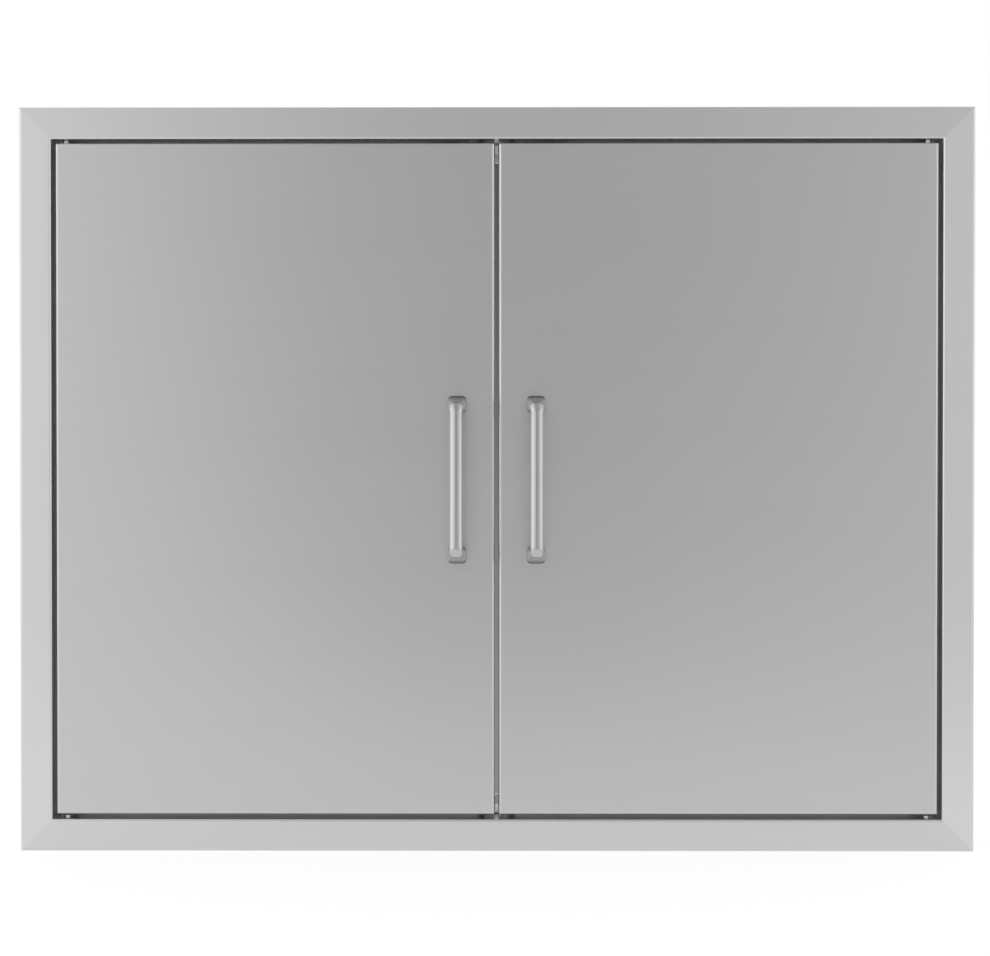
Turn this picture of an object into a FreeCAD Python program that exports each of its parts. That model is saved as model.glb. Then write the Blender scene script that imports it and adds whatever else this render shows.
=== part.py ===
import FreeCAD, Part
import math
import os

from FreeCAD import Placement, Rotation, Vector

# Double access door for an outdoor-kitchen island, in millimetres.
# +X is to the right of someone facing the doors, +Y goes into the island and +Z is up.
# The origin is the centre of the frame opening, in the plane of the island's face.
# The face frame stands proud of that plane, and its jambs reach back through the cut-out.

# Face frame: four folded and mitred sheet members
frame_width = 848.0
frame_height = 661.0
flange_width = 28.5
flange_depth = 10.0  # front of the flange to the island's face
frame_sheet = 1.2
frame_bend = 1.0  # inside radius of each fold
seat_lip = 9.0  # lip that bears on the island's face
jamb_depth = 50.0  # island's face to the back of the jamb
rear_lip = 10.0

# Screw holes through the jambs, two on each side
screw_hole = 5.5
screw_setback = 38.0  # behind the island's face
stile_screw_spacing = 400.0
rail_screw_spacing = 440.0

# Reveals round the closed doors
side_reveal = 3.5
centre_gap = 3.2
top_reveal = 3.2
bottom_reveal = 4.0

# Doors: an outer skin with folded returns, closed behind by a liner tray
door_thickness = 19.0
door_sheet = 1.0
door_bend = 1.8
liner_sheet = 0.8
liner_return = 6.5
nesting_gap = 0.1  # liner inside the skin's returns

# Door stops: an angle strip spot-welded round the inside of the jambs
stop_sheet = 1.2
stop_bend = 0.8
stop_gap = 3.3  # back of the closed door to the stop
stop_lip = 8.5
stop_leg = 14.0

# Rubber bumpers on the stops
bumper_diameter = 6.5
bumper_height = 3.0
bumper_inset = 12.0  # from the door's free edge

# Pivots
pivot_edge = 8.5  # pivot axis to the door's hinge edge
pivot_setback = 8.0  # pivot axis to the door's front
pin_diameter = 5.0
pin_chamfer = 0.7
running_clearance = 0.05
fitting_gap = 0.05  # fixed round pieces in their holes
pin_head_diameter = 9.0
pin_head_height = 1.5
pin_engagement = 9.0  # bottom pin inside the door's bush
pin_tip_gap = 0.2

# Door bush at the bottom, blind at its upper end
bush_diameter = 8.0
bush_height = 12.0
bush_flange_diameter = 11.0
bush_flange = 1.2

# Frame bush at the top, pushed into the rail from above
head_bush_diameter = 8.0
head_bush_flange_diameter = 11.0
head_bush_flange = 3.0

# Spring plunger that is the upper pivot
plunger_engagement = 4.0  # into the frame bush
plunger_travel = 8.0
plunger_hole_gap = 0.5  # round the plunger in the skin's top return
plunger_pin_diameter = 4.0  # cross pin by which it is pulled down
plunger_pin_drop = 14.0  # lower guide leg to the axis of the cross pin
plunger_pin_reach = 8.0  # beyond the back of the door
plunger_foot = 4.0  # rod below the axis of the cross pin
groove_depth = 0.4
clip_thickness = 1.0
clip_diameter = 9.0
clip_mouth = 3.2
clip_slack = 0.05
spring_wire = 0.8
spring_diameter = 8.2  # outside

# Guide bracket of the plunger, a folded U inside the door
bracket_sheet = 1.5
bracket_bend = 1.0
bracket_drop = 8.0  # below the top of the door
bracket_height = 44.0
bracket_reach = 17.0
bracket_width = 9.4

# Window in the liner through which the plunger is pulled down
window_width = 14.0
window_height = 36.0
window_radius = 3.0
window_offset = 3.0  # its centre from the pivot axis, towards the free edge
window_rise = 3.0  # its centre above the middle of the cross pin's travel

# Handles: bow pulls with flared feet
handle_axis = 35.0  # from the centre line of the doors
handle_length = 148.8
handle_standoff = 38.3  # door front to the front of the grip
handle_bend = 15.0  # outside radius
handle_bevel = 2.6  # along the edges of the bar
grip_width = 11.6
grip_thickness = 8.6
bar_setback = 2.0  # end of the foot to the leg, along the door
leg_root = 14.5  # height of the leg where it meets the door
leg_lean = 3.7  # how far each leg leans towards the middle
foot_width = 16.6
foot_height = 20.0
foot_rise = 9.0  # door front to the top of the flare
foot_edge = 1.5  # straight rim of the foot on the door

# Handle fixing: a machine screw through the door into each foot
handle_screw = 4.0
handle_screw_length = 30.0
handle_screw_hole = 4.6
handle_thread_gap = 0.1
handle_thread_spare = 2.0
handle_screw_head = 7.0  # across the flats
handle_screw_head_height = 2.8

# Hat-shaped stiffener between skin and liner behind the handle
hat_crown = 22.0
hat_flange = 9.0
hat_sheet = 1.2
hat_bend = 1.0
hat_length = 196.0

# Magnetic catches on the top stop and strike plates on the doors
catch_offset = 45.0  # from the centre line
catch_width = 30.0
catch_depth = 12.0
catch_wall = 1.2
catch_clearance = 0.3
tongue_width = 6.0
tongue_thickness = 3.0
tongue_spacing = 18.0
barb = 0.8  # how far a tongue hooks over the edge of its slot
barb_height = 2.0
pole_thickness = 1.2
pole_width = 24.0
magnet_thickness = 3.2
magnet_setback = 3.5
catch_pocket_depth = 10.0
pocket_gap = 0.1
strike_width = 40.0
strike_height = 9.0
strike_sheet = 1.2
strike_corner = 2.0

# Places that follow from the sizes above
front = -flange_depth
opening_width = frame_width - 2 * flange_width
opening_height = frame_height - 2 * flange_width
half_opening = opening_width / 2
head = opening_height / 2  # underside of the top jamb
sill = -opening_height / 2  # upper side of the bottom jamb
back = front + door_thickness
stop_face = back + stop_gap
hinge_edge = -half_opening + side_reveal
free_edge = -centre_gap / 2
door_width = free_edge - hinge_edge
door_top = head - top_reveal
door_bottom = sill + bottom_reveal
door_height = door_top - door_bottom
pivot_x = hinge_edge + pivot_edge
pivot_y = front + pivot_setback
pin_radius = pin_diameter / 2
running_radius = pin_radius + running_clearance
liner_face = back - liner_sheet
skin_inside = front + door_sheet
guide_top = door_top - bracket_drop
guide_bottom = guide_top - bracket_height
spring_foot = guide_bottom + bracket_sheet
clip_top = guide_top - bracket_sheet
pull_height = guide_bottom - plunger_pin_drop
window_x = pivot_x + window_offset
window_z = pull_height - plunger_travel / 2 + window_rise
handle_x = -handle_axis
foot_centre = (handle_length - foot_height) / 2
catch_top = head - stop_sheet
pole_top = head - stop_lip - catch_clearance
pole_drop = 2 * pole_thickness + magnet_thickness
pole_front = back + strike_sheet + catch_clearance
catch_front = stop_face + stop_sheet + stop_bend
catch_bottom = pole_top - pole_drop - pocket_gap - catch_wall
catch_y = catch_front + catch_depth / 2  # front of the tongues
strike_z = pole_top - pole_drop / 2


def block(x, y, z):
    """Box between the pairs of x, y and z limits."""
    corner = Vector(x[0], y[0], z[0])
    return Part.makeBox(x[1] - x[0], y[1] - y[0], z[1] - z[0], corner)


def rod(radius, length, start, direction):
    """Plain cylinder from a start point along a direction."""
    return Part.makeCylinder(radius, length, start, direction)


def turned(outline, start, direction):
    """Solid of revolution. The outline is (radius, height) points, with height along the direction."""
    points = [Vector(radius, 0, height) for radius, height in outline]
    face = Part.Face(Part.makePolygon(points + points[:1]))
    solid = face.revolve(Vector(0, 0, 0), Vector(0, 0, 1), 360)
    solid.Placement = Placement(start, Rotation(Vector(0, 0, 1), direction))
    return solid


def bent_strip(points, sheet, inside_radius):
    """Cross-section of a folded sheet, as a face in the XY plane.

    The points are the corners of one side, and the sheet lies to the left of the way along them.
    """
    count = len(points)
    corners = [Vector(x, y, 0) for x, y in points]
    ways = [(corners[i + 1] - corners[i]).normalize() for i in range(count - 1)]
    lefts = [Vector(-way.y, way.x, 0) for way in ways]
    near = [corners[0]]
    far = [corners[0] + lefts[0] * sheet]
    near_edges = []
    far_edges = []
    for i in range(1, count - 1):
        turn = ways[i - 1].cross(ways[i]).z
        half = math.acos(max(-1.0, min(1.0, ways[i - 1].dot(ways[i])))) / 2
        near_radius = inside_radius + (sheet if turn > 0 else 0)
        far_radius = inside_radius + (0 if turn > 0 else sheet)
        reach = near_radius * math.tan(half)
        start = corners[i] - ways[i - 1] * reach
        end = corners[i] + ways[i] * reach
        side = 1 if turn > 0 else -1
        centre = start + lefts[i - 1] * near_radius * side
        outward = (corners[i] - centre).normalize()
        far_start = start + lefts[i - 1] * sheet
        far_end = end + lefts[i] * sheet
        near_edges.append(Part.makeLine(near[-1], start))
        near_edges.append(Part.Arc(start, centre + outward * near_radius, end).toShape())
        far_edges.append(Part.makeLine(far[-1], far_start))
        far_edges.append(Part.Arc(far_start, centre + outward * far_radius, far_end).toShape())
        near.append(end)
        far.append(far_end)
    near_edges.append(Part.makeLine(near[-1], corners[-1]))
    far_edges.append(Part.makeLine(far[-1], corners[-1] + lefts[-1] * sheet))
    ends = [
        Part.makeLine(corners[0], corners[0] + lefts[0] * sheet),
        Part.makeLine(corners[-1], corners[-1] + lefts[-1] * sheet),
    ]
    return Part.Face(Part.Wire(Part.__sortEdges__(near_edges + far_edges + ends)))


def mitred_member(profile, run, reach):
    """Straight member of a mitred frame, along X, with its outer edge at z = reach.

    The profile's x is measured inwards from that edge, and its y is the depth.
    """
    bar = profile.extrude(Vector(0, 0, run))
    bar.Placement = Placement(Vector(-run / 2, 0, reach), Rotation(Vector(0, 1, 0), 90))
    limits = bar.BoundBox
    depth = reach - limits.ZMin
    corners = [
        Vector(-run / 2, limits.YMin, reach),
        Vector(run / 2, limits.YMin, reach),
        Vector(run / 2 - depth, limits.YMin, reach - depth),
        Vector(-run / 2 + depth, limits.YMin, reach - depth),
    ]
    wedge = Part.Face(Part.makePolygon(corners + corners[:1]))
    return bar.common(wedge.extrude(Vector(0, limits.YLength, 0)))


def about_y(shape, degrees):
    """The shape turned about the Y axis through the origin."""
    result = shape.copy()
    result.rotate(Vector(0, 0, 0), Vector(0, 1, 0), degrees)
    return result


def mirrored(shape):
    """The same piece on the other side of the centre line."""
    return shape.mirror(Vector(0, 0, 0), Vector(1, 0, 0))


def both_sides(shape):
    """The piece and its mirror image as one group."""
    return Part.makeCompound([shape, mirrored(shape)])


def rounded_block(width, depth, height, radius, centre):
    """Block with its four edges along Y rounded. The centre is that of its front face."""
    start = centre - Vector(width / 2, 0, height / 2)
    solid = Part.makeBox(width, depth, height, start)
    along = [e for e in solid.Edges if abs(e.tangentAt(e.FirstParameter).y) > 0.5]
    return solid.makeFillet(radius, along)


def dished_pan(width, height, depth, sheet, inside_radius):
    """Tray folded from sheet, its panel centred on the origin and its returns along +Y.

    The returns meet in welded corners, ground square.
    """
    radius = inside_radius + sheet

    def rounded(inset, fold):
        solid = Part.makeBox(
            width - 2 * inset,
            depth,
            height - 2 * inset,
            Vector(inset - width / 2, inset, inset - height / 2),
        )
        folds = [e for e in solid.Edges if e.CenterOfMass.y < inset + fold]
        return solid.makeFillet(fold, folds)

    pan = rounded(0, radius).cut(rounded(sheet, inside_radius))
    trim = block((-width, width), (depth, 2 * depth + sheet), (-height, height))
    return pan.cut(trim)


# Face frame
def frame_members():
    """The four members, with holes for the fixing screws and pivots and slots for the catches."""
    path = [
        (seat_lip, 0),
        (0, 0),
        (0, front),
        (flange_width, front),
        (flange_width, jamb_depth - frame_sheet),
        (flange_width + rear_lip, jamb_depth - frame_sheet),
    ]
    profile = bent_strip(path, frame_sheet, frame_bend)

    def drilled(member, reach, spacing):
        jamb = reach - flange_width - frame_sheet
        for side in (-1, 1):
            start = Vector(side * spacing / 2, screw_setback, jamb)
            member = member.cut(rod(screw_hole / 2, 3 * frame_sheet, start, Vector(0, 0, 1)))
        return member

    rail = drilled(
        mitred_member(profile, frame_width, frame_height / 2), frame_height / 2, rail_screw_spacing
    )
    stile = drilled(
        mitred_member(profile, frame_height, frame_width / 2), frame_width / 2, stile_screw_spacing
    )
    top = rail
    bottom = about_y(rail, 180)
    for x in (pivot_x, -pivot_x):
        start = Vector(x, pivot_y, head - frame_sheet)
        spigot = head_bush_diameter / 2 + fitting_gap
        top = top.cut(rod(spigot, 3 * frame_sheet, start, Vector(0, 0, 1)))
        start = Vector(x, pivot_y, sill + frame_sheet)
        shank = pin_radius + fitting_gap
        bottom = bottom.cut(rod(shank, 3 * frame_sheet, start, Vector(0, 0, -1)))
    for tool in catch_slots():
        top = top.cut(tool)
    return {
        "frame_top_rail": top,
        "frame_bottom_rail": bottom,
        "frame_left_stile": about_y(stile, 270),
        "frame_right_stile": about_y(stile, 90),
    }


def stop_strips():
    """The angle strips that the closed doors stand in front of, mitred like the frame."""
    path = [
        (flange_width, stop_face + stop_leg),
        (flange_width, stop_face),
        (flange_width + stop_lip, stop_face),
    ]
    profile = bent_strip(path, stop_sheet, stop_bend)
    rail = mitred_member(profile, frame_width, frame_height / 2)
    stile = mitred_member(profile, frame_height, frame_width / 2)
    top = rail
    for tool in catch_slots():
        top = top.cut(tool)
    return {
        "door_stop_top": top,
        "door_stop_bottom": about_y(rail, 180),
        "door_stop_left": about_y(stile, 270),
        "door_stop_right": about_y(stile, 90),
    }


def bumpers():
    """Rubber bumpers on the top and bottom stops, one for each door on each."""
    level = opening_height / 2 - (stop_lip + stop_bend) / 2
    pieces = []
    for height in (level, -level):
        start = Vector(free_edge - bumper_inset, stop_face, height)
        bumper = rod(bumper_diameter / 2, bumper_height, start, Vector(0, -1, 0))
        pieces += [bumper, mirrored(bumper)]
    return Part.makeCompound(pieces)


# Pivots in the frame
def bottom_pins():
    """Headed pins that stand up from the bottom rail and carry the doors."""
    start = sill - frame_sheet - pin_head_height
    tip = door_bottom - bush_flange + pin_engagement - start
    outline = [
        (0, 0),
        (pin_head_diameter / 2, 0),
        (pin_head_diameter / 2, pin_head_height),
        (pin_radius, pin_head_height),
        (pin_radius, tip - pin_chamfer),
        (pin_radius - pin_chamfer, tip),
        (0, tip),
    ]
    return both_sides(turned(outline, Vector(pivot_x, pivot_y, start), Vector(0, 0, 1)))


def head_bushes():
    """Flanged bushes in the top rail for the plungers."""
    height = frame_sheet + head_bush_flange
    outline = [
        (running_radius, 0),
        (head_bush_diameter / 2, 0),
        (head_bush_diameter / 2, frame_sheet),
        (head_bush_flange_diameter / 2, frame_sheet),
        (head_bush_flange_diameter / 2, height),
        (running_radius, height),
    ]
    return both_sides(turned(outline, Vector(pivot_x, pivot_y, head), Vector(0, 0, 1)))


# Magnetic catches
def tongue_places():
    """Left and right limits of the left catch's two tongues."""
    centres = [-catch_offset + side * tongue_spacing / 2 for side in (-1, 1)]
    return [(centre - tongue_width / 2, centre + tongue_width / 2) for centre in centres]


def catch_slots():
    """Cutting tools for the slots of both catches, through the stop and the jamb."""
    tools = []
    for left, right in tongue_places():
        slot = block(
            (left - pocket_gap, right + pocket_gap),
            (catch_y - pocket_gap, catch_y + tongue_thickness + pocket_gap),
            (catch_top - stop_sheet, head + 2 * frame_sheet),
        )
        tools += [slot, mirrored(slot)]
    return tools


def catch_tongue(limits):
    """Tongue through the stop and the jamb. Its barb hooks over the back edge of the slot."""
    shelf = head + frame_sheet + pocket_gap
    rear = catch_y + tongue_thickness
    points = [
        Vector(limits[0], catch_y, catch_top - stop_sheet),
        Vector(limits[0], rear, catch_top - stop_sheet),
        Vector(limits[0], rear, shelf),
        Vector(limits[0], rear + barb, shelf),
        Vector(limits[0], rear - barb, shelf + barb_height),
        Vector(limits[0], catch_y, shelf + barb_height),
    ]
    side = Part.Face(Part.makePolygon(points + points[:1]))
    return side.extrude(Vector(limits[1] - limits[0], 0, 0))


def catch_housing():
    """Body with a pocket for the magnet and two tongues on top."""
    half = catch_width / 2
    body = block(
        (-catch_offset - half, -catch_offset + half),
        (catch_front, catch_front + catch_depth),
        (catch_bottom, catch_top),
    )
    lower = [e for e in body.Edges if e.CenterOfMass.z < catch_bottom + catch_wall / 2]
    body = body.makeChamfer(catch_wall / 2, lower)
    pocket = block(
        (-catch_offset - pole_width / 2 - pocket_gap, -catch_offset + pole_width / 2 + pocket_gap),
        (catch_front - catch_wall, catch_front + catch_pocket_depth),
        (pole_top - pole_drop - pocket_gap, pole_top + pocket_gap),
    )
    body = body.cut(pocket)
    return body.fuse([catch_tongue(limits) for limits in tongue_places()]).removeSplitter()


def pole_plates():
    """The two steel plates that carry the field to the strike plate."""
    width = (-catch_offset - pole_width / 2, -catch_offset + pole_width / 2)
    depth = (pole_front, catch_front + catch_pocket_depth)
    levels = (pole_top - pole_thickness, pole_top - pole_drop)
    return [block(width, depth, (level, level + pole_thickness)) for level in levels]


def magnet():
    """Magnet between the pole plates."""
    low = pole_top - pole_drop + pole_thickness
    return block(
        (-catch_offset - pole_width / 2, -catch_offset + pole_width / 2),
        (pole_front + magnet_setback, catch_front + catch_pocket_depth),
        (low, low + magnet_thickness),
    )


# Left door: the right one is its mirror image
def door_skin():
    """Outer skin with holes for the pivots and the handle screws."""
    pan = dished_pan(door_width, door_height, door_thickness, door_sheet, door_bend)
    pan.translate(Vector((hinge_edge + free_edge) / 2, front, (door_top + door_bottom) / 2))
    start = Vector(pivot_x, pivot_y, door_top - 2 * door_sheet)
    pan = pan.cut(rod(pin_radius + plunger_hole_gap, 3 * door_sheet, start, Vector(0, 0, 1)))
    start = Vector(pivot_x, pivot_y, door_bottom - door_sheet)
    pan = pan.cut(rod(bush_diameter / 2 + fitting_gap, 3 * door_sheet, start, Vector(0, 0, 1)))
    for tool in handle_screw_holes():
        pan = pan.cut(tool)
    return pan


def door_liner():
    """Tray that closes the back of the door, with the window for the plunger's cross pin."""
    inset = door_sheet + nesting_gap
    liner = dished_pan(
        door_width - 2 * inset, door_height - 2 * inset, liner_return, liner_sheet, door_bend
    )
    liner.rotate(Vector(0, 0, 0), Vector(0, 0, 1), 180)
    liner.translate(Vector((hinge_edge + free_edge) / 2, back, (door_top + door_bottom) / 2))
    centre = Vector(window_x, liner_face - liner_sheet, window_z)
    window = rounded_block(window_width, 3 * liner_sheet, window_height, window_radius, centre)
    liner = liner.cut(window)
    for tool in handle_screw_holes():
        liner = liner.cut(tool)
    return liner


def handle_stiffener():
    """Hat-shaped channel that spreads the pull of the handle over the skin."""
    side = hat_crown / 2
    path = [
        (-side - hat_flange, skin_inside),
        (-side, skin_inside),
        (-side, liner_face - hat_sheet),
        (side, liner_face - hat_sheet),
        (side, skin_inside),
        (side + hat_flange, skin_inside),
    ]
    hat = bent_strip(path, hat_sheet, hat_bend).extrude(Vector(0, 0, hat_length))
    hat.translate(Vector(handle_x, 0, -hat_length / 2))
    for tool in handle_screw_holes():
        hat = hat.cut(tool)
    return hat


def handle_screw_holes():
    """Cutting tools for the handle screws through skin, stiffener and liner."""
    length = door_thickness + 2 * door_sheet
    places = [Vector(handle_x, front - door_sheet, z) for z in (foot_centre, -foot_centre)]
    return [rod(handle_screw_hole / 2, length, place, Vector(0, 1, 0)) for place in places]


# Bow handle
def rounded_outline(points, radii):
    """Face in the YZ plane inside a polygon of (y, z) points, each corner rounded by its own radius."""
    corners = [Vector(0, y, z) for y, z in points]
    arcs = []
    for i, corner in enumerate(corners):
        before = (corners[i - 1] - corner).normalize()
        after = (corners[(i + 1) % len(corners)] - corner).normalize()
        half = before.getAngle(after) / 2
        reach = radii[i] / math.tan(half)
        inward = (before + after).normalize()
        middle = corner + inward * (radii[i] / math.sin(half) - radii[i])
        arcs.append((corner + before * reach, middle, corner + after * reach))
    edges = []
    for i, (start, middle, end) in enumerate(arcs):
        if radii[i] > 0:
            edges.append(Part.Arc(start, middle, end).toShape())
        edges.append(Part.makeLine(end, arcs[(i + 1) % len(arcs)][0]))
    return Part.Face(Part.Wire(edges))


def handle_profile():
    """Side view of the bar: legs that lean together, and two bends into the straight grip."""
    half = handle_length / 2 - bar_setback
    shoulder = half - leg_lean
    inside = half - leg_root
    grip_front = front - handle_standoff
    grip_back = grip_front + grip_thickness
    inner_bend = handle_bend - grip_thickness
    points = [
        (front, half),
        (grip_front, shoulder),
        (grip_front, -shoulder),
        (front, -half),
        (front, -inside),
        (grip_back, -shoulder + grip_thickness),
        (grip_back, shoulder - grip_thickness),
        (front, inside),
    ]
    radii = [0, handle_bend, handle_bend, 0, 0, inner_bend, inner_bend, 0]
    return rounded_outline(points, radii)


def handle_foot():
    """Upper foot, flared from the bar's width out to the door."""
    outer = handle_length / 2
    rim = front - foot_edge
    flare = front - foot_rise
    slope = (foot_width - grip_width) / 2
    side = [
        (front, outer),
        (rim, outer),
        (flare, outer - slope),
        (flare, outer - foot_height + slope),
        (rim, outer - foot_height),
        (front, outer - foot_height),
    ]
    plan = [
        (-foot_width / 2, front),
        (-foot_width / 2, rim),
        (-grip_width / 2, flare),
        (grip_width / 2, flare),
        (foot_width / 2, rim),
        (foot_width / 2, front),
    ]
    side_points = [Vector(handle_x - foot_width, y, z) for y, z in side]
    plan_points = [Vector(handle_x + x, y, 0) for x, y in plan]
    across = Part.Face(Part.makePolygon(side_points + side_points[:1]))
    along = Part.Face(Part.makePolygon(plan_points + plan_points[:1]))
    return across.extrude(Vector(2 * foot_width, 0, 0)).common(along.extrude(Vector(0, 0, outer)))


def handle():
    """Bow handle: a bevelled bar on two flared feet, each with a blind screw hole."""
    bar = handle_profile().extrude(Vector(grip_width, 0, 0))
    bar.translate(Vector(handle_x - grip_width / 2, 0, 0))

    def lengthwise(edge):
        """Does the edge run along a side of the bar, clear of the door?"""
        centre = edge.CenterOfMass
        offset = abs(centre.x - handle_x)
        return centre.y < front - foot_edge and abs(offset - grip_width / 2) < 1e-4

    bar = bar.makeChamfer(handle_bevel, [edge for edge in bar.Edges if lengthwise(edge)])
    foot = handle_foot()
    solid = bar.fuse([foot, foot.mirror(Vector(0, 0, 0), Vector(0, 0, 1))]).removeSplitter()
    depth = handle_screw_length - door_thickness + handle_thread_spare
    for z in (foot_centre, -foot_centre):
        start = Vector(handle_x, front + 1, z)
        tool = rod(handle_screw / 2 + handle_thread_gap, depth + 1, start, Vector(0, -1, 0))
        solid = solid.cut(tool)
    return solid


def handle_screws():
    """Hexagon-head screws from the back of the door into the handle's feet."""
    corner = handle_screw_head / 2 / math.cos(math.pi / 6)
    screws = []
    for z in (foot_centre, -foot_centre):
        under_head = Vector(handle_x, back, z)
        angles = [i * math.pi / 3 for i in range(7)]
        points = [under_head + Vector(math.cos(a), 0, math.sin(a)) * corner for a in angles]
        hexagon = Part.Face(Part.makePolygon(points))
        head_solid = hexagon.extrude(Vector(0, handle_screw_head_height, 0))
        shank = rod(handle_screw / 2, handle_screw_length, under_head, Vector(0, -1, 0))
        screws.append(head_solid.fuse(shank))
    return Part.makeCompound(screws)


# Pivot pieces of the left door
def door_bush():
    """Blind flanged bush in the bottom of the door. It turns on the frame's pin."""
    blind = pin_engagement + pin_tip_gap
    outline = [
        (running_radius, 0),
        (bush_flange_diameter / 2, 0),
        (bush_flange_diameter / 2, bush_flange),
        (bush_diameter / 2, bush_flange),
        (bush_diameter / 2, bush_height),
        (0, bush_height),
        (0, blind),
        (running_radius, blind),
    ]
    return turned(outline, Vector(pivot_x, pivot_y, door_bottom - bush_flange), Vector(0, 0, 1))


def guide_bracket():
    """U-shaped bracket on the skin's hinge return, with a guide hole in each leg."""
    wall = hinge_edge + door_sheet
    path = [
        (wall + bracket_reach, guide_bottom),
        (wall, guide_bottom),
        (wall, guide_top),
        (wall + bracket_reach, guide_top),
    ]
    strip = bent_strip(list(reversed(path)), bracket_sheet, bracket_bend)
    bracket = strip.extrude(Vector(0, 0, bracket_width))
    bracket.rotate(Vector(0, 0, 0), Vector(1, 0, 0), 90)
    bracket.translate(Vector(0, skin_inside + door_bend + bracket_width, 0))
    start = Vector(pivot_x, pivot_y, guide_bottom - bracket_sheet)
    return bracket.cut(rod(running_radius, bracket_height + 2 * bracket_sheet, start, Vector(0, 0, 1)))


def plunger_rod():
    """Rod with a pointed tip, a groove for the clip and a cross pin that reaches out at the back."""
    foot = pull_height - plunger_foot
    tip = head + plunger_engagement
    groove = pin_radius - groove_depth
    outline = [
        (0, foot),
        (pin_radius, foot),
        (pin_radius, clip_top - clip_thickness - clip_slack),
        (groove, clip_top - clip_thickness - clip_slack),
        (groove, clip_top + clip_slack),
        (pin_radius, clip_top + clip_slack),
        (pin_radius, tip - pin_chamfer),
        (pin_radius - pin_chamfer, tip),
        (0, tip),
    ]
    upright = turned(outline, Vector(pivot_x, pivot_y, 0), Vector(0, 0, 1))
    start = Vector(pivot_x, pivot_y, pull_height)
    cross_pin = rod(plunger_pin_diameter / 2, back + plunger_pin_reach - pivot_y, start, Vector(0, 1, 0))
    return upright.fuse(cross_pin)


def plunger_clip():
    """Open clip in the rod's groove. It stops the plunger against the upper guide leg."""
    inner = pin_radius - groove_depth + clip_slack
    outline = [
        (inner, 0),
        (clip_diameter / 2, 0),
        (clip_diameter / 2, clip_thickness),
        (inner, clip_thickness),
    ]
    low = clip_top - clip_thickness
    ring = turned(outline, Vector(pivot_x, pivot_y, low), Vector(0, 0, 1))
    mouth = block(
        (pivot_x, pivot_x + clip_diameter),
        (pivot_y - clip_mouth / 2, pivot_y + clip_mouth / 2),
        (low - clip_thickness, clip_top + clip_thickness),
    )
    return ring.cut(mouth)


def plunger_spring():
    """Compression spring between the lower guide leg and the clip, as the tube that its coils fill."""
    outer = spring_diameter / 2
    height = clip_top - clip_thickness - spring_foot
    outline = [(outer - spring_wire, 0), (outer, 0), (outer, height), (outer - spring_wire, height)]
    return turned(outline, Vector(pivot_x, pivot_y, spring_foot), Vector(0, 0, 1))


# Strike plate of the left door
def strike_plate():
    """Steel plate that the magnet holds, spot-welded to the liner."""
    centre = Vector(-catch_offset, back, strike_z)
    return rounded_block(strike_width, strike_sheet, strike_height, strike_corner, centre)


def left_door_pieces():
    """Every piece that swings with the left door, and its plunger."""
    return {
        "door_skin": door_skin(),
        "door_liner": door_liner(),
        "handle_stiffener": handle_stiffener(),
        "handle": handle(),
        "handle_screws": handle_screws(),
        "pivot_bush": door_bush(),
        "plunger_bracket": guide_bracket(),
        "plunger_rod": plunger_rod(),
        "plunger_clip": plunger_clip(),
        "plunger_spring": plunger_spring(),
        "strike_plate": strike_plate(),
    }


def all_nodes():
    """Every node of the part by name."""
    housing = catch_housing()
    nodes = {
        "bottom_pivot_pins": bottom_pins(),
        "top_pivot_bushes": head_bushes(),
        "catch_housings": both_sides(housing),
        "catch_magnets": both_sides(magnet()),
        "catch_pole_plates": both_sides(Part.makeCompound(pole_plates())),
        "door_bumpers": bumpers(),
    }
    nodes.update(frame_members())
    nodes.update(stop_strips())
    for name, shape in left_door_pieces().items():
        nodes["left_" + name] = shape
        nodes["right_" + name] = mirrored(shape)
    return nodes


os.makedirs("parts", exist_ok=True)
for node, shape in all_nodes().items():
    shape.exportStep(f"parts/{node}.step")
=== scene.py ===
"""Studio scene of a double access door for an outdoor-kitchen island.

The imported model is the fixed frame. The script dresses its nodes in brushed, polished and plated
finishes, puts finer pieces where the CAD form is plain, and sets up a pale studio round the part.
Lengths are in metres. X is to the right, Y goes into the island and Z is up.
"""

import logging
import math
from dataclasses import dataclass, field, replace
from enum import Enum
from typing import Callable, Iterable, Optional, Sequence

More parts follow.
